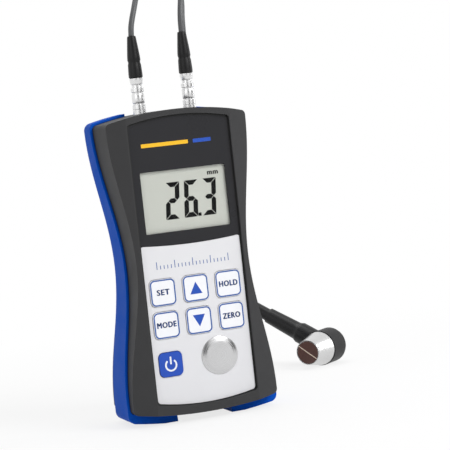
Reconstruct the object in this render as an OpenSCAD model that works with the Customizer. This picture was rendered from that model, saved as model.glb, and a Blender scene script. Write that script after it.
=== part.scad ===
// Handheld ultrasonic thickness gauge with a dual-element contact probe on a twin lead.
// Millimetres. The gauge stands on its guards at Z = 0, centred on X = Y = 0, face towards -Y.

/* [Case] */
// Length of the case from its lowest to its highest point
case_h = 120.5; // [116:0.5:126]
// Height of the case's lowest point above the surface it stands on
case_low = 3; // [2:0.5:4]
// Depth from the front plane to the rear plane
case_d = 30; // [29:0.5:34]
// Width near the top end
top_w = 58.4; // [57:0.2:62]
// Width at the waist
waist_w = 46.8; // [46.8:0.2:50]
// Width near the bottom end
base_w = 60.8; // [59:0.2:64]
// Height of the waist above the case's lowest point
waist_h = 61; // [58:0.5:64]
// Radius of the bowed top end
top_bow_r = 120; // [100:1:150]
// Radius of the bowed bottom end
base_bow_r = 180; // [150:1:210]
// Radius of the four corners
corner_r = 2; // [1.5:0.5:4]
// Thickness of the side walls
wall = 1.8; // [1.6:0.1:2]
// Thickness of the rear wall
rear_wall = 1.8; // [1.6:0.1:2.2]
// Slope of the front margins outside the label
margin_angle = 18; // [10:1:22]

/* [Front panel] */
// Width of the recess that holds the lens and the keypad panel
label_w = 42.6; // [41.6:0.2:43]
// Depth of the label's face below the front plane
recess_d = 1.2; // [0.8:0.1:1.6]
// Thickness of the lens and of the keypad panel
label_t = 1; // [0.8:0.1:1.2]
// Thickness of the front wall behind the label
front_wall = 2; // [1.6:0.1:2.4]
// Distance from the case's highest point down to the join between lens and keypad panel, mid width
join_drop = 53.4; // [52:0.1:55]
// Width of the display glass
lcd_w = 38; // [36:0.5:39]
// Height of the display glass
lcd_h = 28.4; // [26:0.2:29]
// Thickness of the display glass
lcd_t = 2; // [1.6:0.1:2.2]
// Distance from the case's highest point down to the display's centre
lcd_drop = 35.8; // [35:0.1:37]

/* [Keys] */
// Side of the square keys
key_w = 10.6; // [9.6:0.1:11]
// Side of the power key
power_w = 9.6; // [9:0.1:10.6]
// Distance between the columns of keys
key_pitch_x = 13.7; // [13.2:0.1:14]
// Distance between the rows of keys
key_pitch_z = 12.9; // [12.9:0.1:14]
// Height of the upper row above the case's lowest point
key_row_h = 49.3; // [48.5:0.1:50.5]
// Height of the power key above the case's lowest point
power_h = 20.8; // [19.5:0.1:21.5]
// Height that a key stands proud of the panel
key_proud = 0.4; // [0.3:0.05:0.6]
// Travel of a key
key_travel = 0.4; // [0.3:0.05:0.5]
// Gap around a key
key_gap = 0.2; // [0.15:0.05:0.3]
// Diameter of the zero disc
disc_d = 15.2; // [14:0.2:16]
// Diameter of the zero disc's flat top
disc_flat_d = 10.4; // [9:0.2:12]
// Height that the zero disc stands proud of the panel
disc_proud = 0.8; // [0.5:0.1:1.2]

/* [Guards] */
// Height that a guard stands proud of the case's sides
guard_proud = 1.2; // [0.9:0.1:1.6]
// Front edge of the guards at the bottom end, behind the case's mid depth
guard_low_y = -8.8; // [-10:0.2:-6]
// Front edge of the guards at the top end, behind the case's mid depth
guard_top_y = 6.2; // [4:0.2:6.4]
// Depth of a guard at the bottom end
guard_low_d = 18.8; // [17.6:0.2:20]
// Depth of a guard at the top end
guard_top_d = 8.2; // [7.6:0.2:8.4]
// Half the open space between the guards at the top end
guard_gap_top = 15; // [14:0.5:18]
// Half the open space between the guards at the bottom end
guard_gap_low = 11.5; // [10:0.5:13]

/* [Battery bay] */
// Diameter of a cell
cell_d = 10.5; // [10.2:0.1:10.5]
// Length of a cell's can
cell_l = 43.3; // [42.5:0.1:43.3]
// Number of cells side by side
cell_n = 4; // [3:1:4]
// Thickness of the battery door
door_t = 1.5; // [1.2:0.1:1.5]
// Gap around the door
door_gap = 0.25; // [0.2:0.05:0.3]

/* [Plugs and sockets] */
// Distance from the middle to each socket
plug_x = 10.6; // [10:0.1:11.4]
// Outward lean of each plug
plug_splay = 0; // [0:0.5:2]
// Outer diameter of the plugs
plug_d = 5.2; // [5:0.1:5.8]
// Diameter of a plug's core
core_d = 4; // [3.8:0.1:4.2]
// Travel of a release sleeve
sleeve_travel = 1.2; // [0.8:0.1:1.2]
// Length of a release sleeve
sleeve_l = 8.5; // [8:0.1:8.6]
// Length of a bend relief boot
boot_l = 16.7; // [16:0.1:17]
// Radial clearance of the running fits
fit = 0.05; // [0.03:0.01:0.08]

/* [Probe] */
// Diameter of the probe's black body
probe_d = 16; // [14:0.5:18]
// Length of the black body
probe_body_l = 12.5; // [12:0.5:14]
// Diameter of the contact face
face_d = 10.4; // [9:0.2:11.5]
// Length of the conical steel ring
ring_l = 12; // [10:0.5:13]
// Direction in which the contact face looks, seen from above
probe_heading = 219; // [214:1:222]
// Rise of the cable boot above the level
probe_boot_rise = 28.6; // [24:0.2:32]
// Slope of the barrier across the contact face
barrier_slope = 35; // [0:1:90]

/* [Lead] */
// Diameter of each of the two cables
cable_d = 2.3; // [2:0.1:2.4]

/* [Hidden] */
$fn = 48;
eps = 0.01;

// Case levels and depths
front_y = -case_d / 2;
rear_y = case_d / 2;
case_top = case_low + case_h;
waist_z = case_low + waist_h;
label_y = front_y + recess_d;
seat_y = label_y + label_t;
inner_y = seat_y + front_wall;
// Guards narrow and lean back towards the top, drawn a little past the case
guard_over_z = case_top + 3;
function guard_at(low_y, top_y, z) = low_y + (top_y - low_y) * z / case_top;
guard_low_rear = guard_low_y + guard_low_d;
guard_top_rear = guard_top_y + guard_top_d;
// The guards' lower ends reach past the surface they stand on, where they are cut flat
foot_past = 0.8;
foot_drop = case_low - guard_proud + foot_past;
// Plane where the two case halves meet, inside the guards at both ends
lip_in = 0.8;
lip_t = 1.2;
lip_gap = 0.05;
split_y = guard_top_y + lip_t / 2 + 0.4;

// Outline of the case, seen from the front
top_hw = top_w / 2;
waist_hw = waist_w / 2;
base_hw = base_w / 2;
top_c = case_top - top_bow_r;
base_c = case_low + base_bow_r;
top_fx = top_hw - corner_r;
base_fx = base_hw - corner_r;
top_fz = top_c + sqrt(pow(top_bow_r - corner_r, 2) - pow(top_fx, 2));
base_fz = base_c - sqrt(pow(base_bow_r - corner_r, 2) - pow(base_fx, 2));
top_phi = atan2(top_fz - top_c, top_fx);
base_phi = atan2(base_c - base_fz, base_fx);
side_n = 30;
arc_n = 8;

function run_of(z) = z > waist_z ? top_fz - waist_z : waist_z - base_fz;
function end_of(z) = z > waist_z ? top_hw : base_hw;
function blend(t) = (1 - cos(180 * min(1, t))) / 2;
function half_w(z) = waist_hw + (end_of(z) - waist_hw) * blend(abs(z - waist_z) / run_of(z));
function arc(cx, cz, r, a0, a1, n) =
    [for (i = [0:n]) let (a = a0 + (a1 - a0) * i / n) [cx + r * cos(a), cz + r * sin(a)]];
// Right half of the outline from the bottom middle to the top middle, grown by g, its bottom lower by drop
function right_side(g, drop) = concat(
    arc(0, base_c - drop, base_bow_r + g, -90, -base_phi, arc_n),
    arc(base_fx, base_fz - drop, corner_r + g, -base_phi, 0, arc_n),
    [for (i = [1:side_n - 1]) let (z = base_fz + (top_fz - base_fz) * i / side_n) [half_w(z) + g, z]],
    arc(top_fx, top_fz, corner_r + g, 0, top_phi, arc_n),
    arc(0, top_c, top_bow_r + g, top_phi, 90, arc_n));
function tidy(p) = [for (i = [0:len(p) - 1]) if (i == 0 || norm(p[i] - p[i - 1]) > eps) p[i]];
function outline(g, drop = 0) = let (r = tidy(right_side(g, drop)), n = len(r))
    concat(r, [for (i = [n - 2:-1:1]) [-r[i][0], r[i][1]]]);

// Panel with bowed ends and round corners: half width, low mid and end, top mid and end, corner radius
bow_n = 12;
function bow(x, hw, mid, end) = mid + (end - mid) * pow(x / hw, 2);
function panel(hw, low_mid, low_end, top_mid, top_end, r) = let (
    s = hw - r,
    low = bow(s, hw, low_mid, low_end),
    top = bow(s, hw, top_mid, top_end))
    concat(
        [for (i = [0:bow_n]) let (x = -s + 2 * s * i / bow_n) [x, bow(x, hw, low_mid, low_end)]],
        arc(s, low + r, r, -75, 0, 5),
        arc(s, top - r, r, 0, 75, 5),
        [for (i = [0:bow_n]) let (x = s - 2 * s * i / bow_n) [x, bow(x, hw, top_mid, top_end)]],
        arc(-s, top - r, r, 105, 180, 5),
        arc(-s, low + r, r, 180, 255, 5));
function square_panel(w, r) = panel(w / 2, -w / 2, -w / 2, w / 2, w / 2, r);
function window(w, h, r) = panel(w / 2, -h / 2, -h / 2, h / 2, h / 2, r);

// Label levels above the standing surface
label_hw = label_w / 2;
label_gap = 0.1;
label_r = 1.5;
lens_top_z = case_top - 2.2;
lens_bow = 2.5;
panel_low_z = case_low + 3.4;
panel_bow = 2.2;
panel_top_z = case_top - join_drop;
panel_sag = 1.1;
lcd_cz = case_top - lcd_drop;
lcd_seat_gap = 0.25;

// Keys and disc, [x, z] on the panel
row_z = case_low + key_row_h;
low_row_z = row_z - key_pitch_z;
power_z = case_low + power_h;
key_places = [for (row = [0:1]) for (col = [-1:1]) [col * key_pitch_x, row_z - row * key_pitch_z]];
power_place = [-key_pitch_x, power_z];
disc_place = [7, case_low + 21.3];
key_r = 2;
key_flange = 0.9;
key_flange_t = 0.8;
key_seat_gap = 0.15;
key_stem_d = 4;
disc_spigot_d = 9;
disc_spigot_l = 3;
disc_edge = 0.1;

// Electronics between the halves
board_t = 1.6;
dome_d = 5;
dome_h = 0.5;
stem_l = 2.4;
stem_gap = 0.2;
stem_end_y = inner_y + key_seat_gap + key_flange_t + stem_l;
board_y = stem_end_y + key_travel + stem_gap + dome_h;
board_back_y = board_y + board_t;
board_hw = 19;
board_low_z = case_low + 7;
board_top_z = case_top - 12;
post_x = 16.4;
post_z = [board_low_z + 3.4, board_top_z - 3.4];
post_d = 4.4;
board_screw_d = 1.8;
board_head_d = 3.4;
board_head_t = 1.2;
holder_rim = 1.4;
zebra_w = 1.8;
zebra_gap = 0.05;
screen_drop = 18.5;
screen_w = 16;
screen_h = 14;
screen_t = 3;
chip_drop = 35.5;
chip_w = 12;
chip_t = 1.5;
side_part_x = 13;
crystal_w = 5;
crystal_h = 9;
crystal_t = 2;
reservoir_d = 6;
reservoir_l = 4;

// Case screws, [x, z]
screw_d = 2.2;
screw_head_d = 4.4;
screw_head_t = 1.8;
screw_sink = 2.2;
screw_boss_d = 5.2;
screw_depth = 12;
screw_places = [for (s = [-1, 1]) for (z = [case_low + 11.5, case_top - 13.5])
    [s * (half_w(z) - wall - screw_boss_d / 2 + 0.3), z]];

// Battery bay, open to the rear
bay_gap = 0.15;
bay_hw = cell_n * cell_d / 2 + bay_gap;
bay_wall = 0.6;
bay_low_z = case_low + 6.8;
contact_t = 0.4;
spring_l = 1.2;
nub_l = 0.9;
nub_d = 3.8;
bay_l = 2 * contact_t + spring_l + cell_l + nub_l;
bay_top_z = bay_low_z + bay_l;
cell_y = rear_y - door_t - 0.4 - cell_d / 2;
bay_y = cell_y - cell_d / 2 - bay_gap;
cell_xs = [for (i = [0:cell_n - 1]) (i - (cell_n - 1) / 2) * cell_d];
hinge_r = 0.9;
hinge_y = rear_y - hinge_r;
hinge_z = bay_low_z + hinge_r + door_gap;
hinge_pin_r = 0.5;
hinge_pin_l = 1.2;
door_hw = bay_hw - door_gap;
door_top_z = bay_top_z - door_gap;
grip_n = 5;
grip_pitch = 1.6;
tongue_w = 12;
tongue_l = 7;
slot_w = 0.8;

// Sockets and plugs, lengths along the plug's axis from the top of the case
socket_z = top_c + sqrt(pow(top_bow_r, 2) - pow(plug_x, 2));
socket_nose = 1.6;
socket_l = 9;
core_in = 5.8;
sleeve_low = socket_nose + 0.2;
sleeve_top = sleeve_low + sleeve_l;
nut_low = sleeve_top + sleeve_travel + 0.2;
nut_l = 2.6;
boot_low = nut_low + nut_l;
boot_top = boot_low + boot_l;
boot_d = 5.6;
boot_tip_d = 3.4;
boot_straight = 7;
socket_nut_d = 8;
socket_nut_t = 1.8;
socket_nut_drop = 2.6;
lead_d = 1;
lead_drop = 2.5;

// Probe lying on its side; lengths back from the contact face
probe_r = probe_d / 2;
probe_face = [76.3, 63.2, probe_r];
probe_l = ring_l + probe_body_l;
ring_gap = 0.04;
ring_lip = 0.5;
ring_big_d = probe_d - 0.6;
element_l = 4;
barrier_t = 0.5;
probe_boot_at = ring_l + 5.5;
probe_boot_big_d = 9.8;
probe_boot_d = 8.2;
probe_boot_end_d = 7.2;
probe_boot_step = 16;
probe_boot_end = 32;
probe_sheath_d = 5.8;
probe_boot_l = 40.3;
probe_spigot = 4;
probe_spigot_d = 6.4;

// Lead, two cables side by side
cable_r = cable_d / 2;
tube_sides = 8;
coil_c = [21, 62];
coil_r = 13.2;
coil_half_w = 4.7;
coil_h = 9.4;
tie_t = 0.5;
tie_w = 7;
tie_in_w = 2 * coil_half_w + 1.6;
coil_low = tie_t;
tie_angle = 200;
twin_pitch = 2.5;

// Direction of the probe's face and of its boot, and the side step between the two cables there
face_dir = [cos(probe_heading), sin(probe_heading), 0];
boot_flat = cos(probe_boot_rise);
boot_dir = [sin(probe_heading) * boot_flat, -cos(probe_heading) * boot_flat, sin(probe_boot_rise)];
boot_side = cross(boot_dir, face_dir);
boot_root = probe_face - face_dir * probe_boot_at;
boot_end = boot_root + boot_dir * probe_boot_l;

// Points of each cable from its boot over the top and down to the coil
right_exit = [plug_x, 0, socket_z] + boot_top * [sin(plug_splay), 0, cos(plug_splay)];
left_exit = [-plug_x, 0, socket_z] + boot_top * [-sin(plug_splay), 0, cos(plug_splay)];
right_route = [
    right_exit, [10.8, 0.3, 158.2], [11.4, 1.1, 162], [12.5, 2.7, 166], [14.8, 6.5, 173.5],
    [17.3, 13, 182], [20, 22.5, 186.5], [23.2, 33.5, 185], [26.3, 42, 178.5], [28.1, 45.5, 169.5],
    [26.9, 43.6, 162.5], [26.4, 42.8, 156], [25.9, 42.7, 140], [25.5, 42.8, 122], [25.2, 43, 102],
    [25.2, 43.2, 82], [25.4, 43.5, 62], [26, 44, 44], [27.6, 45.2, 30.5], [30.4, 47.2, 20.5],
    [34.2, 49.6, 13], [37.8, 52.6, 8.2], [39.4, 57, 5], [38.6, 62, 4.1], [36.89, 67.16, 4]];
left_route = [
    left_exit, [-10.2, 0.3, 157.4], [-9.1, 1.1, 160.9], [-7.5, 2.5, 164.7], [-4.4, 6.4, 171],
    [0.5, 13, 179], [7.5, 22.5, 186], [15.5, 33.5, 189], [23, 42.5, 186], [27.7, 47.5, 179],
    [29.1, 48.6, 169.6], [27.9, 46.7, 162.7], [27.4, 45.8, 156], [26.9, 45.7, 140], [26.5, 45.8, 122],
    [26.2, 46, 102], [26.2, 46.2, 82], [26.5, 46.6, 62], [27.2, 47.2, 45], [28.8, 48.6, 33],
    [31.6, 50.8, 23], [35, 54, 15.2], [37.3, 58, 11], [38, 62.4, 9.1], [36.89, 67.16, 8.7]];
// Where each cable leaves the coil, one above the other
left_tail_start = [[18.1, 45.54, 6.35], [22.8, 44.2, 6.3], [27.6, 43.7, 5.4], [31.3, 44.9, 3.3]];
right_tail_start = [[18.1, 45.54, 1.65], [22.6, 44.3, 1.6], [28, 42.9, 1.4]];
// Mid line of the twin lead from there to the probe's boot
tail_route = [
    [34.6, 45.7, 1.7], [39.3, 49.6, 1.3], [43, 57, 1.3], [45.3, 66, 1.3], [47, 76, 1.5], [48.2, 86.5, 2.3],
    [48.4, 94.5, 5], [48.3, 101, 9.8], [49.2, 106, 17], [52, 109, 24.2], [57, 109.4, 29.2],
    [62.8, 106.4, 30], boot_end];
// Side step of the twin lead: level on the table, turning to the boot's own
function unit(v) = v / norm(v);
function side_at(i) = let (
    n = len(tail_route) - 1,
    d = unit(tail_route[min(n, i + 1)] - tail_route[max(0, i - 1)]),
    level = unit([d[1], -d[0], 0]),
    t = blend(i / n),
    s = level * (1 - t) + boot_side * t) unit(s - d * (s * d));
function twin(side) = concat(side < 0 ? left_tail_start : right_tail_start,
    [for (i = [0:len(tail_route) - 1]) tail_route[i] + side * twin_pitch / 2 * side_at(i)]);

// Placing helpers
module along_y(y0, y1) translate([0, y1, 0]) rotate([90, 0, 0]) linear_extrude(y1 - y0) children();
module along_x(w) rotate([90, 0, 90]) linear_extrude(w, center = true) children();
module rod_y(x, z, y0, y1, d) translate([x, y1, z]) rotate([90, 0, 0]) cylinder(h = y1 - y0, d = d);
module box(x0, x1, y0, y1, z0, z1) translate([x0, y0, z0]) cube([x1 - x0, y1 - y0, z1 - z0]);
module at_plug(side) translate([side * plug_x, 0, socket_z]) rotate([0, side * plug_splay, 0]) children();
module at_probe() translate(probe_face) rotate([0, 90, probe_heading]) children();
module at_probe_boot() translate(boot_root) rotate([0, 90 - probe_boot_rise, probe_heading - 90]) children();
module turned(profile) rotate_extrude() polygon(profile);

// Round tube swept along a list of points
function along(p, i) = unit(p[min(len(p) - 1, i + 1)] - p[max(0, i - 1)]);
function across(d) = let (ref = abs(d[2]) > 0.8 ? [1, 0, 0] : [0, 0, 1]) unit(cross(d, ref));
// Each ring's first direction is the last ring's, turned with the path so that the tube doesn't twist
function ring_dirs(p, i = 0, last = undef) = i >= len(p) ? [] : let (
    d = along(p, i),
    u = is_undef(last) ? across(d) : unit(last - d * (last * d)))
    concat([u], ring_dirs(p, i + 1, u));
module tube(p, r) {
    dirs = ring_dirs(p);
    n = len(p);
    points = [for (i = [0:n - 1]) let (d = along(p, i), u = dirs[i], v = cross(d, u))
        for (k = [0:tube_sides - 1]) let (a = 360 * k / tube_sides) p[i] + r * (cos(a) * u + sin(a) * v)];
    walls = [for (i = [0:n - 2]) for (k = [0:tube_sides - 1]) let (
        a = i * tube_sides + k,
        b = i * tube_sides + (k + 1) % tube_sides)
        [a, a + tube_sides, b + tube_sides, b]];
    ends = [[for (k = [0:tube_sides - 1]) k], [for (k = [tube_sides - 1:-1:0]) (n - 1) * tube_sides + k]];
    polyhedron(points, concat(walls, ends), convexity = 10);
}

// Groove for the guards' lips along the join of the case halves
module lip_groove() {
    difference() {
        along_y(split_y - lip_t / 2, split_y + lip_t / 2) polygon(outline(1));
        along_y(split_y - lip_t, split_y + lip_t) polygon(outline(-lip_in));
        box(-guard_gap_top + lip_gap, guard_gap_top - lip_gap, front_y, rear_y, waist_z, case_top + 5);
        box(-guard_gap_low + lip_gap, guard_gap_low - lip_gap, front_y, rear_y, -5, waist_z);
    }
}

// Front section: flat behind the label, sloping back outside it
module front_section() {
    reach = base_w;
    flat_hw = label_hw + 0.6;
    slope_y = front_y + (reach - flat_hw) * tan(margin_angle);
    linear_extrude(case_top + 10)
        polygon([[-reach, slope_y], [-flat_hw, front_y], [flat_hw, front_y], [reach, slope_y],
            [reach, rear_y + reach], [-reach, rear_y + reach]]);
}

module front_case() color("dimgray") {
    difference() {
        union() {
            difference() {
                intersection() {
                    along_y(front_y, split_y) polygon(outline(0));
                    front_section();
                }
                along_y(inner_y, split_y + 1) polygon(outline(-wall));
            }
            for (p = screw_places) rod_y(p[0], p[1], inner_y - eps, split_y, screw_boss_d);
            for (s = [-1, 1]) for (z = post_z) rod_y(s * post_x, z, inner_y - eps, board_y, post_d);
        }
        lip_groove();
        along_y(front_y - 1, seat_y) polygon(panel(label_hw, panel_low_z, panel_low_z + panel_bow,
            lens_top_z, lens_top_z - lens_bow, label_r));
        translate([0, 0, lcd_cz]) along_y(front_y, inner_y + 1)
            polygon(window(lcd_w + 2 * lcd_seat_gap, lcd_h + 2 * lcd_seat_gap, 0.6));
        for (p = key_places) translate([p[0], 0, p[1]]) along_y(front_y, inner_y + 1)
            polygon(square_panel(key_w + 2 * key_gap, key_r + key_gap));
        translate([power_place[0], 0, power_place[1]]) along_y(front_y, inner_y + 1)
            polygon(square_panel(power_w + 2 * key_gap, key_r + key_gap));
        rod_y(disc_place[0], disc_place[1], front_y, inner_y + 1, disc_spigot_d + 2 * fit);
        for (p = screw_places) rod_y(p[0], p[1], split_y - screw_depth, split_y + 1, screw_d + fit);
        for (s = [-1, 1]) for (z = post_z)
            rod_y(s * post_x, z, board_y - 4, board_y + 1, board_screw_d + fit);
        for (s = [-1, 1]) at_plug(s) translate([0, 0, -socket_l])
            cylinder(h = 2 * socket_l, d = plug_d + 2 * fit);
    }
}

module rear_case() color("dimgray") {
    bay_out = bay_hw + bay_wall;
    lead_z = bay_top_z - lead_drop;
    difference() {
        union() {
            difference() {
                along_y(split_y, rear_y) polygon(outline(0));
                along_y(split_y - 1, rear_y - rear_wall) polygon(outline(-wall));
            }
            intersection() {
                along_y(bay_y - bay_wall, rear_y) polygon(outline(-wall + 0.1));
                union() {
                    box(-bay_out, bay_out, bay_y - bay_wall, rear_y,
                        bay_low_z - bay_wall, bay_top_z + bay_wall);
                    for (p = screw_places) rod_y(p[0], p[1], split_y, rear_y, screw_boss_d);
                }
            }
        }
        lip_groove();
        box(-bay_hw, bay_hw, bay_y, rear_y + 1, bay_low_z, bay_top_z);
        for (s = [-1, 1]) translate([s * bay_hw, hinge_y, hinge_z]) rotate([0, s * 90, 0])
            translate([0, 0, -1]) cylinder(h = 1 + hinge_pin_l, r = hinge_pin_r + fit);
        for (p = screw_places) {
            rod_y(p[0], p[1], split_y - 1, rear_y + 1, screw_d + 0.3);
            rod_y(p[0], p[1], rear_y - screw_sink, rear_y + 1, screw_head_d + 0.4);
        }
        // Way through the bay's floor for the two battery leads
        for (s = [-1, 1])
            rod_y(s * cell_xs[cell_n - 1], lead_z, bay_y - bay_wall - 1, bay_y + 1, lead_d + 0.4);
    }
}

module guard_band() {
    difference() {
        intersection() {
            along_y(front_y, rear_y) polygon(outline(guard_proud, foot_drop));
            along_x(2 * base_w) polygon([
                [guard_low_y, 0], [guard_low_rear, 0],
                [guard_at(guard_low_rear, guard_top_rear, guard_over_z), guard_over_z],
                [guard_at(guard_low_y, guard_top_y, guard_over_z), guard_over_z]]);
        }
        along_y(front_y, rear_y + 2) polygon(outline(0));
        box(-guard_gap_top, guard_gap_top, front_y, rear_y + 2, waist_z, case_top + 5);
        box(-guard_gap_low, guard_gap_low, front_y, rear_y + 2, -5, waist_z);
    }
}

module guard_lip() {
    difference() {
        along_y(split_y - lip_t / 2 + lip_gap, split_y + lip_t / 2 - lip_gap) polygon(outline(eps));
        along_y(split_y - lip_t, split_y + lip_t) polygon(outline(-lip_in + lip_gap));
        box(-guard_gap_top, guard_gap_top, front_y, rear_y, waist_z, case_top + 5);
        box(-guard_gap_low, guard_gap_low, front_y, rear_y, -5, waist_z);
    }
}

module guard(side) color("mediumblue") intersection() {
    union() {
        guard_band();
        guard_lip();
    }
    translate([side * base_w, 0, case_h / 2]) cube([2 * base_w, 4 * case_d, 2 * case_h], center = true);
}

module battery_door() color("dimgray") {
    difference() {
        union() {
            box(-door_hw, door_hw, rear_y - door_t, rear_y, hinge_z, door_top_z);
            translate([0, hinge_y, hinge_z]) rotate([0, 90, 0])
                cylinder(h = 2 * door_hw, r = hinge_r, center = true);
            translate([0, hinge_y, hinge_z]) rotate([0, 90, 0])
                cylinder(h = 2 * (bay_hw + hinge_pin_l) - 0.3, r = hinge_pin_r, center = true);
        }
        for (s = [-1, 1]) translate([s * tongue_w / 2, rear_y, door_top_z - tongue_l / 2])
            cube([slot_w, 4 * door_t, tongue_l + 2 * eps], center = true);
        for (i = [0:grip_n - 1]) translate([0, rear_y, door_top_z - tongue_l - 2 - i * grip_pitch])
            cube([tongue_w, 0.6, grip_pitch / 2], center = true);
    }
}

module display_lens() color("darkslategray") along_y(label_y, seat_y) polygon(panel(label_hw - label_gap,
    panel_top_z + label_gap, panel_top_z + panel_sag + label_gap,
    lens_top_z - label_gap, lens_top_z - lens_bow - label_gap, label_r));

module keypad_panel() color("white") difference() {
    along_y(label_y, seat_y) polygon(panel(label_hw - label_gap,
        panel_low_z + label_gap, panel_low_z + panel_bow + label_gap,
        panel_top_z, panel_top_z + panel_sag, label_r));
    for (p = key_places) translate([p[0], 0, p[1]]) along_y(front_y, rear_y)
        polygon(square_panel(key_w + 2 * key_gap, key_r + key_gap));
    translate([power_place[0], 0, power_place[1]]) along_y(front_y, rear_y)
        polygon(square_panel(power_w + 2 * key_gap, key_r + key_gap));
    rod_y(disc_place[0], disc_place[1], front_y, rear_y, disc_d + 2 * fit);
}

// A key: cap through the panel, flange behind the front wall, stem over its dome
module key(place, w) translate([place[0], 0, place[1]]) {
    along_y(label_y - key_proud, inner_y + key_seat_gap + key_flange_t) polygon(square_panel(w, key_r));
    along_y(inner_y + key_seat_gap, inner_y + key_seat_gap + key_flange_t)
        polygon(square_panel(w + 2 * key_flange, key_r));
    rod_y(0, 0, inner_y + key_seat_gap, stem_end_y, key_stem_d);
}
module white_key(i) color("whitesmoke") key(key_places[i], key_w);

module zero_disc() color("silver") translate([disc_place[0], seat_y, disc_place[1]]) rotate([90, 0, 0])
    turned([
        [0, -disc_spigot_l], [disc_spigot_d / 2, -disc_spigot_l], [disc_spigot_d / 2, 0], [disc_d / 2, 0],
        [disc_d / 2, label_t + disc_edge], [disc_flat_d / 2, label_t + disc_proud],
        [0, label_t + disc_proud]]);

module lcd_glass() color("gainsboro") translate([0, 0, lcd_cz])
    along_y(seat_y + label_gap, seat_y + label_gap + lcd_t) polygon(window(lcd_w, lcd_h, 0.4));

// Frame that holds the display and the two contact strips against the board
holder_y = max(inner_y, seat_y + label_gap + lcd_t) + 0.1;
strip_z = lcd_h / 2 - zebra_w;
holder_hw = lcd_w / 2 - holder_rim;
slot_hw = holder_hw - holder_rim;
module lcd_holder() color("black") translate([0, 0, lcd_cz]) difference() {
    along_y(holder_y, board_y) polygon(window(lcd_w, lcd_h + 2 * holder_rim, 0.8));
    box(-holder_hw, holder_hw, front_y, rear_y, -strip_z + zebra_w, strip_z - zebra_w);
    for (s = [-1, 1]) translate([0, 0, s * strip_z])
        box(-slot_hw, slot_hw, front_y, rear_y, -zebra_w / 2, zebra_w / 2);
}

module lcd_strips() color("pink") for (s = [-1, 1]) translate([0, 0, lcd_cz + s * strip_z])
    box(-slot_hw + zebra_gap, slot_hw - zebra_gap, seat_y + label_gap + lcd_t, board_y,
        -zebra_w / 2 + zebra_gap, zebra_w / 2 - zebra_gap);

module main_board() color("darkgreen") difference() {
    box(-board_hw, board_hw, board_y, board_back_y, board_low_z, board_top_z);
    for (s = [-1, 1]) for (z = post_z) rod_y(s * post_x, z, front_y, rear_y, board_screw_d + 0.3);
}

// A chip on the back of the board: mid width, low edge, width, height and thickness
module chip(x, z, w, h, t) box(x - w / 2, x + w / 2, board_back_y, board_back_y + t, z, z + h);

// Processor, pulse circuit under its screen, crystal and reservoir capacitor, down from the board's top
module board_chips() color("black") {
    screen_z = board_top_z - screen_drop;
    chip_z = board_top_z - chip_drop;
    chip(0, screen_z, screen_w, screen_h, screen_t);
    chip(0, chip_z, chip_w, chip_w, chip_t);
    chip(side_part_x, chip_z, crystal_w, crystal_h, crystal_t);
    rod_y(side_part_x, screen_z + screen_h / 2, board_back_y, board_back_y + reservoir_l, reservoir_d);
}

module key_domes() color("silver") for (p = concat(key_places, [power_place]))
    translate([p[0], board_y, p[1]]) rotate([90, 0, 0]) turned([
        [0, 0], [dome_d / 2, 0], [dome_d * 0.4, dome_h * 0.4], [dome_d * 0.2, dome_h * 0.85], [0, dome_h]]);

module board_screws() color("silver") for (s = [-1, 1]) for (z = post_z) {
    rod_y(s * post_x, z, board_y - 3.6, board_back_y + eps, board_screw_d);
    rod_y(s * post_x, z, board_back_y, board_back_y + board_head_t, board_head_d);
}

module case_screws() color("silver") for (p = screw_places) difference() {
    union() {
        rod_y(p[0], p[1], split_y - screw_depth + 0.5, rear_y - screw_sink + eps, screw_d);
        rod_y(p[0], p[1], rear_y - screw_sink, rear_y - screw_sink + screw_head_t, screw_head_d);
    }
    for (a = [0, 90]) translate([p[0], rear_y - screw_sink + screw_head_t, p[1]]) rotate([0, a, 0])
        cube([screw_head_d * 0.6, 1.6, 0.7], center = true);
}

// Cells alternate end for end, so a cell's spring is at its flat end
function flip(i) = i % 2 == 0 ? 1 : -1;
bay_mid_z = (bay_low_z + bay_top_z) / 2;
module cell_frame(i) translate([cell_xs[i], cell_y, bay_mid_z])
    mirror([0, 0, flip(i) > 0 ? 0 : 1]) children();

module battery_cells() color("goldenrod") for (i = [0:cell_n - 1]) cell_frame(i)
    translate([0, 0, -bay_l / 2 + contact_t + spring_l]) turned([
        [0, 0], [cell_d / 2 - 0.3, 0], [cell_d / 2 - 0.05, 0.3], [cell_d / 2 - 0.05, cell_l - 0.3],
        [cell_d / 2 - 0.3, cell_l], [nub_d / 2, cell_l], [nub_d / 2, cell_l + nub_l], [0, cell_l + nub_l]]);

// Contact plates on the bay's end walls, with a conical spring at each flat end
module battery_contacts() color("silver") for (i = [0:cell_n - 1]) cell_frame(i) {
    plate = cell_d - 2;
    translate([-plate / 2, -plate / 2, -bay_l / 2]) cube([plate, plate, contact_t]);
    translate([0, 0, -bay_l / 2 + contact_t - eps]) cylinder(h = spring_l + eps, d1 = 6, d2 = 3.5);
    translate([-plate / 2, -plate / 2, bay_l / 2 - contact_t]) cube([plate, plate, contact_t]);
}

module battery_leads() color("red") for (s = [-1, 1])
    rod_y(s * cell_xs[cell_n - 1], bay_top_z - lead_drop, board_back_y, bay_y + 0.05, lead_d);

module socket(side) color("silver") at_plug(side) turned([
    [0, -socket_l], [plug_d / 2, -socket_l], [plug_d / 2, socket_nose], [core_d / 2 + fit, socket_nose],
    [core_d / 2 + fit, -core_in - 0.2], [0, -core_in - 0.2]]);

module socket_nuts() color("silver") for (s = [-1, 1]) at_plug(s)
    translate([0, 0, -socket_nut_drop - socket_nut_t]) difference() {
        cylinder(h = socket_nut_t, d = socket_nut_d, $fn = 6);
        translate([0, 0, -1]) cylinder(h = socket_nut_t + 2, d = plug_d + 2 * fit);
    }

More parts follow.
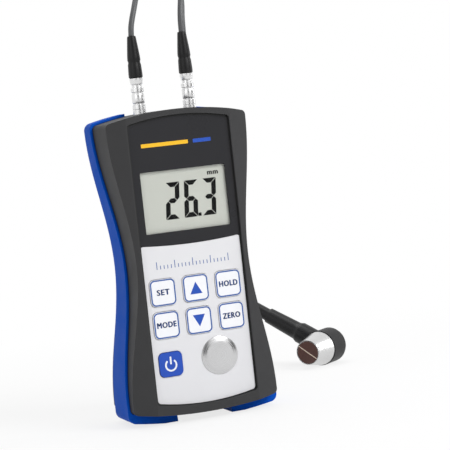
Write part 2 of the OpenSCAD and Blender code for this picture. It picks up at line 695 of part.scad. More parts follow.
// Wire from the back of each socket to the board
module socket_leads() color("white") for (s = [-1, 1]) {
    back = [s * (plug_x - socket_l * sin(plug_splay)), 0, socket_z - socket_l * cos(plug_splay) - 0.1];
    drop = back[2] - (board_top_z - 6);
    translate(back - [0, 0, drop]) cylinder(h = drop, d = lead_d);
    translate(back - [0, 0, drop]) sphere(d = lead_d);
    rod_y(back[0], back[2] - drop, board_back_y, 0, lead_d);
}

module plug_core(side) color("silver") at_plug(side)
    translate([0, 0, -core_in]) cylinder(h = core_in + boot_low, d = core_d);

// Release sleeve: knurled ring, waisted barrel and upper ring
module plug_sleeve(side) color("gainsboro") at_plug(side) {
    r = plug_d / 2;
    barrel_low = sleeve_low + 2.2;
    barrel_top = sleeve_top - 2.2;
    turned([
        [core_d / 2 + fit, sleeve_low], [r, sleeve_low], [r, barrel_low], [r - 0.3, barrel_low],
        [r - 0.3, barrel_low + 0.3], [r - 0.1, barrel_low + 0.3], [r - 0.1, barrel_top - 0.3],
        [r - 0.3, barrel_top - 0.3], [r - 0.3, barrel_top], [r, barrel_top], [r, sleeve_top],
        [core_d / 2 + fit, sleeve_top]]);
}

module plug_nut(side) color("gainsboro") at_plug(side) turned([
    [core_d / 2 + fit, nut_low], [plug_d / 2, nut_low],
    [plug_d / 2, boot_low], [core_d / 2 + fit, boot_low]]);

module boot(side) color("black") at_plug(side) turned([
    [0, boot_low], [boot_d / 2, boot_low], [boot_d / 2, boot_low + boot_straight],
    [boot_tip_d / 2, boot_top], [0, boot_top]]);

module cable_coil() color("dimgray") translate([coil_c[0], coil_c[1], coil_low]) rotate_extrude()
    translate([coil_r - coil_half_w, 0]) square([2 * coil_half_w, coil_h]);

module coil_tie() color("black") translate([coil_c[0], coil_c[1], coil_low]) rotate([0, 0, tie_angle])
    translate([coil_r, 0, coil_h / 2]) difference() {
        cube([tie_in_w + 2 * tie_t, tie_w, coil_h + 2 * tie_t], center = true);
        cube([tie_in_w, tie_w + 1, coil_h], center = true);
    }

module probe_body() color("black") difference() {
    at_probe() turned([
        [0, -ring_l], [probe_r, -ring_l], [probe_r, -probe_l + 2], [probe_r - 0.6, -probe_l + 0.6],
        [probe_r - 2, -probe_l], [0, -probe_l]]);
    at_probe_boot() translate([0, 0, probe_r - probe_spigot]) cylinder(h = probe_r, d = probe_spigot_d);
}

module probe_ring() color("silver") at_probe() turned([
    [face_d / 2 + ring_gap, 0], [face_d / 2 + ring_lip, 0], [ring_big_d / 2, -ring_l + 1],
    [ring_big_d / 2, -ring_l], [0, -ring_l], [0, -element_l], [face_d / 2 + ring_gap, -element_l]]);

module probe_elements() color("saddlebrown") at_probe() difference() {
    translate([0, 0, -element_l]) cylinder(h = element_l, d = face_d);
    rotate([0, 0, -barrier_slope]) cube([barrier_t, 2 * face_d, 4 * element_l], center = true);
}

module probe_barrier() color("wheat") at_probe() intersection() {
    translate([0, 0, -element_l]) cylinder(h = element_l, d = face_d);
    rotate([0, 0, -barrier_slope]) cube([barrier_t - 0.02, 2 * face_d, 4 * element_l], center = true);
}

// Boot at right angles to the probe, with a spigot in the body and a sheath over the twin lead
module probe_boot() color("black") difference() {
    at_probe_boot() turned([
        [0, probe_r - probe_spigot + 0.1], [probe_spigot_d / 2 - fit, probe_r - probe_spigot + 0.1],
        [probe_spigot_d / 2 - fit, probe_r - 1.5], [probe_boot_big_d / 2, probe_r - 1.5],
        [probe_boot_big_d / 2, probe_boot_step - 2], [probe_boot_d / 2, probe_boot_step],
        [probe_boot_end_d / 2, probe_boot_end], [probe_sheath_d / 2, probe_boot_end],
        [probe_sheath_d / 2, probe_boot_l], [0, probe_boot_l]]);
    difference() {
        at_probe() translate([0, 0, -probe_l]) cylinder(h = probe_body_l, r = probe_r);
        at_probe_boot() cylinder(h = probe_r + 1, d = probe_spigot_d - 2 * fit);
    }
}

front_case();
rear_case();
guard(-1);  // guard_left
guard(1);  // guard_right
battery_door();
display_lens();
keypad_panel();
white_key(0);  // key_set
white_key(1);  // key_up
white_key(2);  // key_hold
white_key(3);  // key_mode
white_key(4);  // key_down
white_key(5);  // key_zero
color("mediumblue") key(power_place, power_w);  // key_power
zero_disc();
lcd_glass();
lcd_holder();
lcd_strips();
main_board();
board_chips();
key_domes();
board_screws();
case_screws();
battery_cells();
battery_contacts();
battery_leads();
socket(-1);  // socket_left
socket(1);  // socket_right
socket_nuts();
socket_leads();
plug_core(-1);  // plug_core_left
plug_core(1);  // plug_core_right
plug_sleeve(-1);  // plug_sleeve_left
plug_sleeve(1);  // plug_sleeve_right
plug_nut(-1);  // plug_nut_left
plug_nut(1);  // plug_nut_right
boot(-1);  // boot_left
boot(1);  // boot_right
color("dimgray") tube(left_route, cable_r);  // cable_left
color("dimgray") tube(right_route, cable_r);  // cable_right
color("dimgray") tube(twin(-1), cable_r);  // cable_tail_left
color("dimgray") tube(twin(1), cable_r);  // cable_tail_right
cable_coil();
coil_tie();
probe_body();
probe_ring();
probe_elements();
probe_barrier();
probe_boot();
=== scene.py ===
# %% [markdown]
# # A handheld ultrasonic thickness gauge
# The gauge measures the thickness of a wall from one side. A probe on a twin lead sends
# a short pulse into the material and times its echo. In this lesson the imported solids
# of the gauge are loaded, and each visible piece gets its edges, its prints and its
# finish. Lengths are written in millimetres and turned into metres by one factor.

import math

import bmesh
import bpy
from mathutils import Matrix, Vector


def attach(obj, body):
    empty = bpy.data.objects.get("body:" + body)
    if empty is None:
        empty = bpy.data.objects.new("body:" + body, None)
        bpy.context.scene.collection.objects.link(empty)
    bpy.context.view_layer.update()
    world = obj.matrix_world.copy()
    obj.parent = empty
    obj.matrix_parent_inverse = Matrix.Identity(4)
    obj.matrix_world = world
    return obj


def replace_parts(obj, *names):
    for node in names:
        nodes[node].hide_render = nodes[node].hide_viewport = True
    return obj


MM = 0.001
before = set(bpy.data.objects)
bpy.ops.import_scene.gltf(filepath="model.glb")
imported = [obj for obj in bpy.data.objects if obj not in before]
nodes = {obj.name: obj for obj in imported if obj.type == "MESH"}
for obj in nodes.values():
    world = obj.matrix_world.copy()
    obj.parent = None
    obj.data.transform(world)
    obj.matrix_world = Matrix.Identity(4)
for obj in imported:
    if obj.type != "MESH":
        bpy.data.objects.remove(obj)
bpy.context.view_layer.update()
scene = bpy.context.scene
print("solids loaded:", len(nodes))

# %% [markdown]
# ## Camera
# The photo looks at the gauge from 20 degrees left of its face and slightly from above,
# with a long lens, and the picture is turned so that the gauge leans left. A camera can
# be aimed with a constraint, but a turned one is clearer as a matrix: three axes and a
# place. So the axes are worked out from the angles.

# %% Camera
VIEW_LEFT, VIEW_UP, VIEW_ROLL = map(math.radians, (20.0, 3.5, 6.2))
VIEW_DISTANCE = 700 * MM
VIEW_TARGET = Vector((20.2, 0, 74.6)) * MM
FOCAL_SHARE = 1723 / 450


def photo_camera():
    back = Vector((-math.sin(VIEW_LEFT) * math.cos(VIEW_UP),
                   -math.cos(VIEW_LEFT) * math.cos(VIEW_UP), math.sin(VIEW_UP)))
    level = Vector((0, 0, 1)).cross(back).normalized()
    above = back.cross(level)
    right = math.cos(VIEW_ROLL) * level - math.sin(VIEW_ROLL) * above
    up = math.sin(VIEW_ROLL) * level + math.cos(VIEW_ROLL) * above
    data = bpy.data.cameras.new("photo_camera")
    data.sensor_width = 36
    data.lens = FOCAL_SHARE * data.sensor_width
    data.clip_start, data.clip_end = 0.01, 50
    camera = bpy.data.objects.new("photo_camera", data)
    place = Matrix((right, up, back)).transposed().to_4x4()
    place.translation = VIEW_TARGET + VIEW_DISTANCE * back
    camera.matrix_world = place
    scene.collection.objects.link(camera)
    scene.camera = camera
    return camera


print("lens in mm:", round(photo_camera().data.lens, 1))

# %% [markdown]
# ## Cables
# Two thin coaxial cables leave the plugs, arch over the back of the gauge and run down
# to a small coil behind it. From there they go side by side to the probe. Each cable is
# one curve with a round bevel, kept as a mesh, because a curve gives a true length and
# an even thickness through every bend. The points repeat the routes of the solids.

# %% Cable routes
CABLE_D = 2.3
PLUG_X, TOP_BOW_R, CASE_TOP = 10.6, 120, 123.5
SOCKET_Z = CASE_TOP - TOP_BOW_R + math.sqrt(TOP_BOW_R ** 2 - PLUG_X ** 2)
PLUG_AXIS = Vector((0, 0, 1))
BOOT_TOP = 31.0
TWIN_HALF_PITCH = 1.25
# The probe: its contact face, and its boot, which leaves the body behind the face and rises
FACE_AT = Vector((76.3, 63.2, 8))
FACE_HEADING, BOOT_RISE = math.radians(219), math.radians(28.6)
FACE_TO_BOOT, PROBE_BOOT_L = 17.5, 40.3
FACE_DIR = Vector((math.cos(FACE_HEADING), math.sin(FACE_HEADING), 0))
BOOT_DIR = Vector((FACE_DIR.y * math.cos(BOOT_RISE), -FACE_DIR.x * math.cos(BOOT_RISE),
                   math.sin(BOOT_RISE)))
BOOT_SIDE = BOOT_DIR.cross(FACE_DIR)
BOOT_ROOT = FACE_AT - FACE_TO_BOOT * FACE_DIR
BOOT_END = BOOT_ROOT + PROBE_BOOT_L * BOOT_DIR


def plug_point(side, along):
    return Vector((side * PLUG_X, 0, SOCKET_Z)) + along * PLUG_AXIS


RIGHT_LEAD = [
    (10.8, 0.3, 158.2), (11.4, 1.1, 162), (12.5, 2.7, 166), (14.8, 6.5, 173.5), (17.3, 13, 182),
    (20, 22.5, 186.5), (23.2, 33.5, 185), (26.3, 42, 178.5), (28.1, 45.5, 169.5), (26.9, 43.6, 162.5),
    (26.4, 42.8, 156), (25.9, 42.7, 140), (25.5, 42.8, 122), (25.2, 43, 102), (25.2, 43.2, 82),
    (25.4, 43.5, 62), (26, 44, 44), (27.6, 45.2, 30.5), (30.4, 47.2, 20.5), (34.2, 49.6, 13),
    (37.8, 52.6, 8.2), (39.4, 57, 5), (38.6, 62, 4.1), (36.89, 67.16, 4)]
LEFT_LEAD = [
    (-10.2, 0.3, 157.4), (-9.1, 1.1, 160.9), (-7.5, 2.5, 164.7), (-4.4, 6.4, 171), (0.5, 13, 179),
    (7.5, 22.5, 186), (15.5, 33.5, 189), (23, 42.5, 186), (27.7, 47.5, 179), (29.1, 48.6, 169.6),
    (27.9, 46.7, 162.7), (27.4, 45.8, 156), (26.9, 45.7, 140), (26.5, 45.8, 122), (26.2, 46, 102),
    (26.2, 46.2, 82), (26.5, 46.6, 62), (27.2, 47.2, 45), (28.8, 48.6, 33), (31.6, 50.8, 23),
    (35, 54, 15.2), (37.3, 58, 11), (38, 62.4, 9.1), (36.89, 67.16, 8.7)]
LEFT_LEAVES = [(18.1, 45.54, 6.35), (22.8, 44.2, 6.3), (27.6, 43.7, 5.4), (31.3, 44.9, 3.3)]
RIGHT_LEAVES = [(18.1, 45.54, 1.65), (22.6, 44.3, 1.6), (28, 42.9, 1.4)]
TWIN_RUN = [
    (34.6, 45.7, 1.7), (39.3, 49.6, 1.3), (43, 57, 1.3), (45.3, 66, 1.3), (47, 76, 1.5),
    (48.2, 86.5, 2.3), (48.4, 94.5, 5), (48.3, 101, 9.8), (49.2, 106, 17), (52, 109, 24.2),
    (57, 109.4, 29.2), (62.8, 106.4, 30), tuple(BOOT_END)]


def twin_run(side):
    """One cable of the pair, half a pitch off the mid line and turning to the boot's side."""
    mid = [Vector(p) for p in TWIN_RUN]
    last = len(mid) - 1
    run = []
    for i, p in enumerate(mid):
        ahead = (mid[min(last, i + 1)] - mid[max(0, i - 1)]).normalized()
        level = Vector((ahead.y, -ahead.x, 0)).normalized()
        turn = (1 - math.cos(math.pi * i / last)) / 2
        step = level.lerp(BOOT_SIDE, turn)
        step = (step - step.dot(ahead) * ahead).normalized()
        run.append(p + side * TWIN_HALF_PITCH * step)
    return run


print("points on the leads:", len(RIGHT_LEAD), len(LEFT_LEAD))

# %% [markdown]
# ## Coil
# A metre of lead is too long for the table, so most of it is wound into a small ring
# behind the gauge. Each cable takes eight places in the ring's section, four across and
# two high, and changes place once a turn, as a hand-wound coil does.

# %% Coil turns
COIL_AT, COIL_R = (21, 62), 13.2
COLUMN_PITCH, ROW_PITCH, LOWEST_ROW = 2.34, 2.35, 1.65
COLUMNS = [COIL_R + COLUMN_PITCH * (i - 1.5) for i in range(4)]
ROWS = [LOWEST_ROW + ROW_PITCH * j for j in range(4)]
LAST_TURN = 7
COIL_START, COIL_END, COIL_STEP = 24, LAST_TURN * 360 + 258, 6
CHANGE_SPAN = 42


def coil_turns(upper):
    inward, outward = (ROWS[3], ROWS[2]) if upper else (ROWS[1], ROWS[0])
    places = [(r, inward) for r in reversed(COLUMNS)] + [(r, outward) for r in COLUMNS]
    points = []
    for angle in range(COIL_START, COIL_END, COIL_STEP):
        turn, part = divmod(angle, 360)
        # Inward changes, the change of row and outward changes start at their own angles
        start = 318 if turn < 3 else 290 if turn == 3 else 258
        t = min(1, max(0, (part - start) / CHANGE_SPAN))
        t = t * t * (3 - 2 * t)
        a, b = places[turn], places[min(turn + 1, LAST_TURN)]
        r, z = (a[k] + (b[k] - a[k]) * t for k in (0, 1))
        points.append((COIL_AT[0] + r * math.cos(math.radians(angle)),
                       COIL_AT[1] + r * math.sin(math.radians(angle)), z))
    return points


def smooth_path(points, step=1.2):
    """Centripetal curve through the points, cut into short steps."""
    p = [Vector(q) for q in points]
    p = [2 * p[0] - p[1]] + p + [2 * p[-1] - p[-2]]
    out = []
    for i in range(1, len(p) - 2):
        a, b, c, d = p[i - 1:i + 3]
        t1 = (b - a).length ** 0.5
        t2 = t1 + (c - b).length ** 0.5
        t3 = t2 + (d - c).length ** 0.5
        count = max(1, round((c - b).length / step))
        for k in range(count):
            t = t1 + (t2 - t1) * k / count
            ab = a.lerp(b, t / t1)
            bc = b.lerp(c, (t - t1) / (t2 - t1))
            cd = c.lerp(d, (t - t2) / (t3 - t2))
            abc = ab.lerp(bc, t / t2)
            bcd = bc.lerp(cd, (t - t1) / (t3 - t1))
            out.append(abc.lerp(bcd, (t - t1) / (t2 - t1)))
    return out + [p[-2]]


def cable(name, side, lead, leaves, old_solids):
    exit_at = plug_point(side, BOOT_TOP)
    path = smooth_path([exit_at, *lead, *coil_turns(side < 0), *leaves, *twin_run(side)])
    data = bpy.data.curves.new(name, "CURVE")
    data.dimensions = "3D"
    data.bevel_depth = CABLE_D / 2 * MM
    data.bevel_resolution = 4
    data.use_fill_caps = True
    spline = data.splines.new("POLY")
    spline.points.add(len(path) - 1)
    for point, p in zip(spline.points, path):
        point.co = (*(p * MM), 1)
    drawn = bpy.data.objects.new(name + "_curve", data)
    scene.collection.objects.link(drawn)
    graph = bpy.context.evaluated_depsgraph_get()
    tube = bpy.data.meshes.new_from_object(drawn.evaluated_get(graph))
    bpy.data.objects.remove(drawn)
    for face in tube.polygons:
        face.use_smooth = True
    made = bpy.data.objects.new(name, tube)
    scene.collection.objects.link(made)
    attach(made, "gauge")
    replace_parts(made, *old_solids)
    length = sum((b - a).length for a, b in zip(path, path[1:]))
    print(name, "length in mm:", round(length))
    return made, [p * MM for p in path], length * MM


left_cable, left_path, left_length = cable(
    "left_cable", -1, LEFT_LEAD, LEFT_LEAVES, ["cable_left", "cable_tail_left"])
right_cable, right_path, right_length = cable(
    "right_cable", 1, RIGHT_LEAD, RIGHT_LEAVES, ["cable_right", "cable_tail_right", "cable_coil"])

# %% [markdown]
# ## Table and light
# The gauge stands on a plain white table in soft light. The lamps stay at a plain
# level. The white behind the gauge comes from the world and from the far part of the
# table, for rays that the camera, a mirror or a clear pane sends out. Close to the
# gauge the table is ordinary white board, so it keeps the shadow. Bright metal in an
# all-white room would look flat, so three dark cards stand where only gloss sees them.

# %% Table and light
AMBIENT = 0.36
FADE_FROM, FADE_TO, NEAR_WHITE = 0.10, 0.34, 0.78
TABLE_HALF = 4


def sees_backdrop(tree):
    """1 for the rays that should meet the white backdrop."""
    path = tree.nodes.new("ShaderNodeLightPath")
    seen = path.outputs["Is Camera Ray"]
    for ray in ("Is Glossy Ray", "Is Transmission Ray"):
        either = tree.nodes.new("ShaderNodeMath")
        either.operation = "MAXIMUM"
        tree.links.new(seen, either.inputs[0])
        tree.links.new(path.outputs[ray], either.inputs[1])
        seen = either.outputs[0]
    return seen


def white_world(ambient):
    world = bpy.data.worlds.new("studio")
    scene.world = world
    world.use_nodes = True
    tree = world.node_tree
    tree.nodes.clear()
    out = tree.nodes.new("ShaderNodeOutputWorld")
    mix = tree.nodes.new("ShaderNodeMixShader")
    soft, white = (tree.nodes.new("ShaderNodeBackground") for _ in range(2))
    soft.inputs["Strength"].default_value = ambient
    soft.inputs["Color"].default_value = (1, 1, 1, 1)
    white.inputs["Color"].default_value = (1, 1, 1, 1)
    tree.links.new(sees_backdrop(tree), mix.inputs[0])
    tree.links.new(soft.outputs[0], mix.inputs[1])
    tree.links.new(white.outputs[0], mix.inputs[2])
    tree.links.new(mix.outputs[0], out.inputs[0])


def soft_lamp(name, place, aim, size, watts):
    data = bpy.data.lights.new(name, "AREA")
    data.shape = "RECTANGLE"
    data.size, data.size_y = size
    data.energy = watts
    lamp = bpy.data.objects.new(name, data)
    lamp.location = place
    lamp.rotation_euler = (Vector(aim) - Vector(place)).to_track_quat("-Z", "Y").to_euler()
    scene.collection.objects.link(lamp)


def white_table():
    mesh = bpy.data.meshes.new("table")
    h = TABLE_HALF
    mesh.from_pydata([(-h, -h, 0), (h, -h, 0), (h, h, 0), (-h, h, 0)], [], [(0, 1, 2, 3)])
    table = bpy.data.objects.new("table", mesh)
    scene.collection.objects.link(table)
    board = bpy.data.materials.new("white_board")
    board.use_nodes = True
    tree = board.node_tree
    near = tree.nodes["Principled BSDF"]
    near.inputs["Base Color"].default_value = (0.9, 0.9, 0.9, 1)
    near.inputs["Roughness"].default_value = 0.7
    far = tree.nodes.new("ShaderNodeEmission")
    place = tree.nodes.new("ShaderNodeTexCoord")
    reach = tree.nodes.new("ShaderNodeVectorMath")
    reach.operation = "LENGTH"
    fade = tree.nodes.new("ShaderNodeMapRange")
    fade.interpolation_type = "SMOOTHSTEP"
    fade.inputs["From Min"].default_value = FADE_FROM
    fade.inputs["From Max"].default_value = FADE_TO
    fade.inputs["To Min"].default_value = NEAR_WHITE
    share = tree.nodes.new("ShaderNodeMath")
    share.operation = "MULTIPLY"
    mix = tree.nodes.new("ShaderNodeMixShader")
    tree.links.new(place.outputs["Object"], reach.inputs[0])
    tree.links.new(reach.outputs["Value"], fade.inputs["Value"])
    tree.links.new(fade.outputs[0], share.inputs[0])
    tree.links.new(sees_backdrop(tree), share.inputs[1])
    tree.links.new(share.outputs[0], mix.inputs[0])
    tree.links.new(near.outputs[0], mix.inputs[1])
    tree.links.new(far.outputs[0], mix.inputs[2])
    tree.links.new(mix.outputs[0], tree.nodes["Material Output"].inputs["Surface"])
    mesh.materials.append(board)


def dark_card(name, place, aim, size):
    """A black card that only metal and gloss can see; it gives chrome its dark bands."""
    mesh = bpy.data.meshes.new(name)
    w, h = (s / 2 for s in size)
    mesh.from_pydata([(-w, -h, 0), (w, -h, 0), (w, h, 0), (-w, h, 0)], [], [(0, 1, 2, 3)])
    card = bpy.data.objects.new(name, mesh)
    card.location = place
    card.rotation_euler = (Vector(aim) - Vector(place)).to_track_quat("-Z", "Y").to_euler()
    scene.collection.objects.link(card)
    card.visible_camera = card.visible_diffuse = False
    card.visible_shadow = card.visible_transmission = False
    black = bpy.data.materials.new(name)
    black.use_nodes = True
    shader = black.node_tree.nodes["Principled BSDF"]
    shader.inputs["Base Color"].default_value = (0.01, 0.01, 0.01, 1)
    shader.inputs["Specular IOR Level"].default_value = 0
    mesh.materials.append(black)


white_world(AMBIENT)
# Name, place, aim and size in metres, then the lamps' watts
soft_lamp("key_softbox", (0.55, -0.75, 0.75), (0, 0, 0.07), (0.5, 0.5), 7.5)
soft_lamp("left_softbox", (-0.8, -0.5, 0.45), (0, 0, 0.07), (0.4, 0.6), 0.7)
soft_lamp("right_softbox", (0.9, -0.1, 0.3), (0, 0, 0.07), (0.3, 0.6), 2.2)
soft_lamp("top_softbox", (0.0, 0.25, 1.0), (0, 0, 0.05), (0.6, 0.6), 3.2)
dark_card("front_card", (-0.17, -0.8, 0.15), (0, 0, 0.1), (0.24, 0.9))
dark_card("right_card", (0.63, -0.49, 0.15), (0, 0, 0.1), (0.26, 0.9))
dark_card("side_card", (0.8, -0.2, 0.2), (0, 0, 0.1), (0.26, 0.9))
white_table()
scene.view_settings.view_transform = "Standard"

# %% [markdown]
# ## Finishes
# Nearly every piece is moulded plastic, rubber or turned metal. One recipe makes
# the moulded finishes: fine noise for the mould's texture, a broad noise that varies
# colour and gloss a little. The other makes turned metal, where the tool leaves fine
# rings. Numbers that are the same all over go straight on the shader's sockets.

# %% Finish recipes


def linear(rgb):
    """Screen colour, 0 to 255, as the shader's linear colour."""
    return [(c / 255 / 12.92) if c < 11 else ((c / 255 + 0.055) / 1.055) ** 2.4 for c in rgb]


def new_finish(name):
    finish = bpy.data.materials.new(name)
    finish.use_nodes = True
    tree = finish.node_tree
    return finish, tree, tree.nodes["Principled BSDF"]


def ranged(tree, source, low, high):
    node = tree.nodes.new("ShaderNodeMapRange")
    node.inputs["From Min"].default_value = 0.3
    node.inputs["From Max"].default_value = 0.7
    node.inputs["To Min"].default_value = low
    node.inputs["To Max"].default_value = high
    tree.links.new(source, node.inputs["Value"])
    return node.outputs[0]


def noise(tree, vector, scale, detail=2.0):
    node = tree.nodes.new("ShaderNodeTexNoise")
    node.inputs["Scale"].default_value = scale
    node.inputs["Detail"].default_value = detail
    tree.links.new(vector, node.inputs["Vector"])
    return node.outputs["Fac"]


def bump(tree, shader, height, strength, depth):
    node = tree.nodes.new("ShaderNodeBump")
    node.inputs["Strength"].default_value = strength
    node.inputs["Distance"].default_value = depth * MM
    tree.links.new(height, node.inputs["Height"])
    tree.links.new(node.outputs[0], shader.inputs["Normal"])


def vary(tree, shader, source, rgb, share):
    """The colour a little darker and lighter by the source's noise."""
    base = linear(rgb)
    mix = tree.nodes.new("ShaderNodeMix")
    mix.data_type = "RGBA"
    mix.inputs[6].default_value = [*(c * (1 - share) for c in base), 1]
    mix.inputs[7].default_value = [*(min(1, c * (1 + share)) for c in base), 1]
    tree.links.new(source, mix.inputs[0])
    tree.links.new(mix.outputs[2], shader.inputs["Base Color"])


def moulded(name, rgb, rough, grain=0.5, depth=0.02, strength=0.3, share=0.08, coat=0.0,
            level=0.5):
    """grain and depth of the mould's texture in millimetres; share is the colour's variation."""
    finish, tree, shader = new_finish(name)
    at = tree.nodes.new("ShaderNodeTexCoord").outputs["Object"]
    broad = noise(tree, at, 90, 3)
    vary(tree, shader, broad, rgb, share)
    tree.links.new(ranged(tree, broad, rough - 0.05, rough + 0.05), shader.inputs["Roughness"])
    bump(tree, shader, noise(tree, at, 1 / (grain * MM)), strength, depth)
    shader.inputs["Specular IOR Level"].default_value = level
    shader.inputs["Coat Weight"].default_value = coat
    shader.inputs["Coat Roughness"].default_value = 0.12
    return finish


def turned_metal(name, rgb, rough, axis, centre=None, ring=0.12, depth=0.01, strength=0.35):
    """Rings round an axis: by the place along it, or by the distance from it with a centre."""
    finish, tree, shader = new_finish(name)
    at = tree.nodes.new("ShaderNodeTexCoord").outputs["Object"]
    if centre is None:
        along = tree.nodes.new("ShaderNodeVectorMath")
        along.operation = "DOT_PRODUCT"
        along.inputs[1].default_value = axis
        tree.links.new(at, along.inputs[0])
    else:
        off = tree.nodes.new("ShaderNodeVectorMath")
        off.operation = "SUBTRACT"
        off.inputs[1].default_value = [c * MM for c in centre]
        flat = tree.nodes.new("ShaderNodeVectorMath")
        flat.operation = "MULTIPLY"
        flat.inputs[1].default_value = [1 - abs(c) for c in axis]
        along = tree.nodes.new("ShaderNodeVectorMath")
        along.operation = "LENGTH"
        tree.links.new(at, off.inputs[0])
        tree.links.new(off.outputs[0], flat.inputs[0])
        tree.links.new(flat.outputs[0], along.inputs[0])
    rings = tree.nodes.new("ShaderNodeTexNoise")
    rings.noise_dimensions = "1D"
    rings.inputs["Scale"].default_value = 1 / (ring * MM)
    rings.inputs["Detail"].default_value = 3
    tree.links.new(along.outputs["Value"], rings.inputs["W"])
    vary(tree, shader, noise(tree, at, 120, 3), rgb, 0.06)
    gloss = ranged(tree, rings.outputs["Fac"], rough - 0.07, rough + 0.09)
    tree.links.new(gloss, shader.inputs["Roughness"])
    bump(tree, shader, rings.outputs["Fac"], strength, depth)
    shader.inputs["Metallic"].default_value = 1
    return finish


def ink_and_painted_shade(name, rgb, rough=0.45):
    """Printed ink, also used for the black ring of painted shade round the label: almost flat, with a
    trace of the screen's texture.
    """
    return moulded(name, rgb, rough, grain=0.2, depth=0.003, strength=0.15, share=0.04)


print("recipes ready")

# %% [markdown]
# ## Edges
# A moulded edge always has a small radius, and the radius catches the light. The solids
# have sharp edges, so each shown node gets a weld, a bevel and weighted normals. These
# are modifiers, so the solid's own mesh stays as it is.

# %% Edge helper


def soften(node, radius, finish, segments=3, angle=30):
    solid = nodes[node]
    weld = solid.modifiers.new("weld", "WELD")
    weld.merge_threshold = 1e-6
    if radius:
        edge = solid.modifiers.new("edge", "BEVEL")
        edge.width = radius * MM
        edge.segments = segments
        edge.limit_method = "ANGLE"
        edge.angle_limit = math.radians(angle)
        edge.use_clamp_overlap = True
    normals = solid.modifiers.new("normals", "WEIGHTED_NORMAL")
    normals.keep_sharp = False
    solid.data.materials.clear()
    solid.data.materials.append(finish)
    for face in solid.data.polygons:
        face.use_smooth = True


print("edge helper ready")

# %% [markdown]
# ## Case and guards
# The case is two shells of dark grey plastic with a fine mould texture. The guards are
# softer blue rubber with a satin skin that runs round both sides and under the corners.

# %% Case and guards
case_grey = moulded("case_grey_plastic", (62, 62, 63), 0.55, grain=0.45, depth=0.03,
                    strength=0.35, share=0.07, level=0.12)
guard_blue = moulded("guard_blue_rubber", (4, 80, 188), 0.55, grain=0.8, depth=0.01,
                     strength=0.15, share=0.06, level=0.06)
soften("front_case", 0.5, case_grey)
soften("rear_case", 0.4, case_grey)
soften("battery_door", 0.25, case_grey)
for side in ("left", "right"):
    soften(f"guard_{side}", 0.8, guard_blue, segments=4)
print("case nodes finished")

# %% [markdown]
# ## Flat shapes and prints
# The lens, the display's segments and the prints are flat shapes with straight or round
# outlines, some with holes. A filled 2D curve does all of them: it takes outlines as
# loops and cuts the holes by itself. The result is kept as a mesh that faces forward.

# %% Flat shape helpers
CAP_SHARE, LETTER_SPACE = 0.69, 1.14


def arc_points(x, z, r, start, end, n):
    """n + 1 points on an arc round x, z, with its angles in degrees."""
    angles = [math.radians(start + (end - start) * i / n) for i in range(n + 1)]
    return [(x + r * math.cos(a), z + r * math.sin(a)) for a in angles]


def round_box(x, z, w, h, r, n=6):
    """Outline of a box with round corners, centred on x, z."""
    points = []
    for sx, sz, start in ((1, 1, 0), (-1, 1, 90), (-1, -1, 180), (1, -1, 270)):
        cx, cz = x + sx * (w / 2 - r), z + sz * (h / 2 - r)
        points += arc_points(cx, cz, r, start, start + 90, n)
    return points


def facing_mesh(name, curve, y, finish, body):
    """The curve's mesh, stood up to face the front at depth y."""
    shape = bpy.data.objects.new(name + "_curve", curve)
    scene.collection.objects.link(shape)
    bpy.context.view_layer.update()
    graph = bpy.context.evaluated_depsgraph_get()
    mesh = bpy.data.meshes.new_from_object(shape.evaluated_get(graph))
    bpy.data.objects.remove(shape)
    mesh.transform(Matrix.Translation((0, y * MM, 0)) @ Matrix.Rotation(math.pi / 2, 4, "X"))
    mesh.materials.clear()
    mesh.materials.append(finish)
    made = bpy.data.objects.new(name, mesh)
    scene.collection.objects.link(made)
    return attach(made, body)


def flat_shape(name, loops, y, finish, body="gauge", thick=0.0, round_edge=0.0):
    """Loops of x, z in millimetres; y is the front face's depth, thick the plate behind it."""
    curve = bpy.data.curves.new(name, "CURVE")
    curve.dimensions = "2D"
    curve.fill_mode = "BOTH" if thick else "FRONT"
    curve.extrude = (thick / 2 - round_edge) * MM if thick else 0
    curve.bevel_depth = round_edge * MM
    curve.bevel_resolution = 2
    curve.offset = -round_edge * MM
    for loop in loops:
        spline = curve.splines.new("POLY")
        spline.points.add(len(loop) - 1)
        spline.use_cyclic_u = True
        for point, (x, z) in zip(spline.points, loop):
            point.co = (x * MM, z * MM, 0, 1)
    return facing_mesh(name, curve, y + thick / 2, finish, body)


def printed_word(name, word, x, z, height, y, finish, body, bold=0.0, narrow=1.0):
    """A word as a flat print; bold is the shift of the copies that thicken its strokes."""
    curve = bpy.data.curves.new(name, "FONT")
    curve.body = word
    curve.align_x = curve.align_y = "CENTER"
    curve.size = height / CAP_SHARE * MM
    curve.space_character = LETTER_SPACE
    curve.resolution_u = 3
    made = facing_mesh(name, curve, 0, finish, body)
    letters = bmesh.new()
    squeeze = Matrix.Scale(narrow, 4, (1, 0, 0))
    for dx, dz in ((0, 0), (bold, 0), (-bold, 0), (0, bold / 2), (0, -bold / 2)):
        copy = made.data.copy()
        copy.transform(Matrix.Translation(((x + dx) * MM, y * MM, (z + dz) * MM)) @ squeeze)
        letters.from_mesh(copy)
        bpy.data.meshes.remove(copy)
    letters.to_mesh(made.data)
    letters.free()
    return made


print("helpers ready")

# %% [markdown]
# ## Lens and display
# A dark lens lies over the upper half of the face. Its back is printed dark except for
# a clear window, and the display sits right behind it. So the lens is made as a dark
# plate with a hole and a thin clear pane in it, and the segments are dark shapes on the
# display's own glass. A narrow black ring round the whole label is painted shade, for
# the shadow that the recess walls cast at the label's edge.

# %% Lens and display
LENS_Y, GLASS_Y = -13.8, -12.7
WINDOW, WINDOW_R, PANE_GAP = (0, 87.7, 35.4, 24.2), 0.4, 0.04
